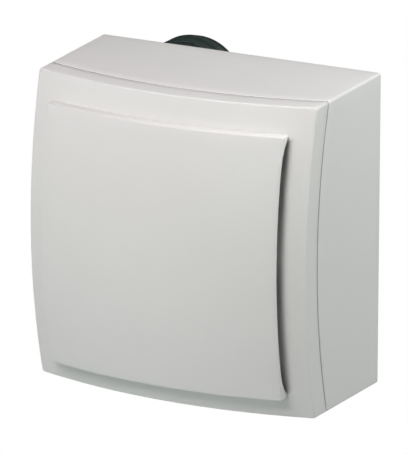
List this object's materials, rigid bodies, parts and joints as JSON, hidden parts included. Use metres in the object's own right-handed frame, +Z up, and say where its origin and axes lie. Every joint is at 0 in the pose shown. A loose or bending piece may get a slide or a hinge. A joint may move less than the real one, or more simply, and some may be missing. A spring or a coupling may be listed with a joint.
{
  "type": "heat recovery unit",
  "caption": "Square wall-hung ventilation unit with a domed raised front panel, foam-lined heat exchanger, two fans and two duct spigots at the back.",
  "frame": {"origin": "on the wall, in the middle of the case's back face", "axes": "+X to the right of someone who faces the unit, +Y into the wall, +Z up"},
  "size_m": [0.2848, 0.2515, 0.2928],
  "materials": {
    "white_plastic": "smooth satin, white",
    "grey_foam": "moulded expanded foam",
    "black_plastic": "moulded, fine grain",
    "black_rubber": "soft, slightly shiny",
    "grey_plastic": "moulded",
    "exchanger_plates": "thin clear-white sheets",
    "steel": "turned and plated",
    "motor_metal": "windings and lamination stack",
    "filter_media": "pleated fleece",
    "circuit_board": "lacquered board",
    "strap_webbing": "woven"
  },
  "bodies": {
    "casing": {"rear_case": "white_plastic", "case_post_top": "white_plastic", "case_post_bottom": "white_plastic", "foam_shell": "grey_foam", "foam_lid": "grey_foam", "plenum_divider_left": "grey_foam", "plenum_divider_right": "grey_foam", "exhaust_fan_housing": "black_plastic", "supply_fan_housing": "black_plastic", "damper_housing": "black_plastic", "exhaust_spigot": "black_plastic", "outdoor_spigot": "black_plastic", "power_supply": "black_plastic", "smoothing_capacitor": "black_plastic", "exhaust_fan_lead": "black_plastic", "supply_fan_lead": "black_plastic", "core_seal_right": "black_rubber", "core_seal_top": "black_rubber", "core_seal_left": "black_rubber", "core_seal_bottom": "black_rubber", "exhaust_lip_seal": "black_rubber", "outdoor_lip_seal": "black_rubber", "cable_gland": "black_rubber", "core_end_frame_rear": "grey_plastic", "core_end_frame_front": "grey_plastic", "damper_motor": "grey_plastic", "extract_filter_frame": "grey_plastic", "outdoor_filter_frame": "grey_plastic", "drain_tray": "grey_plastic", "control_box": "grey_plastic", "control_box_cover": "grey_plastic", "terminal_block": "grey_plastic", "exchanger_core": "exchanger_plates", "exhaust_bearing_outer": "steel", "exhaust_bearing_inner": "steel", "supply_bearing_outer": "steel", "supply_bearing_inner": "steel", "flap_pin": "steel", "exhaust_fan_motor": "motor_metal", "supply_fan_motor": "motor_metal", "extract_filter_media": "filter_media", "outdoor_filter_media": "filter_media", "control_board": "circuit_board", "core_pull_strap": "strap_webbing"},
    "cover": {"front_frame": "white_plastic", "seam_seal": "black_rubber", "frame_screw_top": "steel", "frame_screw_bottom": "steel"},
    "panel": {"front_panel": "white_plastic", "panel_stud_1": "grey_plastic", "panel_stud_2": "grey_plastic", "panel_stud_3": "grey_plastic", "panel_stud_4": "grey_plastic"},
    "exhaust_rotor": {"exhaust_impeller": "grey_plastic", "exhaust_fan_shaft": "steel"},
    "supply_rotor": {"supply_impeller": "grey_plastic", "supply_fan_shaft": "steel"},
    "flap_left": {"flap_left": "grey_plastic"},
    "flap_right": {"flap_right": "grey_plastic"},
    "outdoor_damper": {"damper_disc": "grey_plastic"}
  },
  "joints": [
    {"name": "cover_pull", "type": "slide", "parent": "casing", "child": "cover", "axis": [0, -1, 0], "range_m": [0, 0.15]},
    {"name": "panel_pull", "type": "slide", "parent": "cover", "child": "panel", "axis": [0, -1, 0], "range_m": [0, 0.08]},
    {"name": "exhaust_fan_spin", "type": "hinge", "parent": "casing", "child": "exhaust_rotor", "pos_m": [-0.082, -0.0256, 0.0875], "axis": [0, 1, 0], "continuous": true},
    {"name": "supply_fan_spin", "type": "hinge", "parent": "casing", "child": "supply_rotor", "pos_m": [0.082, -0.1063, 0.0875], "axis": [0, 1, 0], "continuous": true},
    {"name": "flap_left_swing", "type": "hinge", "parent": "casing", "child": "flap_left", "pos_m": [-0.082, 0.02, 0.0875], "axis": [0, 0, -1], "range_deg": [0, 75], "stiffness_Nm_per_rad": 0.001, "springref_deg": -5.73},
    {"name": "flap_right_swing", "type": "hinge", "parent": "casing", "child": "flap_right", "pos_m": [-0.082, 0.02, 0.0875], "axis": [0, 0, 1], "range_deg": [0, 75], "stiffness_Nm_per_rad": 0.001, "springref_deg": -5.73},
    {"name": "outdoor_damper_turn", "type": "hinge", "parent": "casing", "child": "outdoor_damper", "pos_m": [-0.082, -0.0276, -0.0875], "axis": [0.8746, 0, -0.4848], "range_deg": [0, 90]}
  ]
}
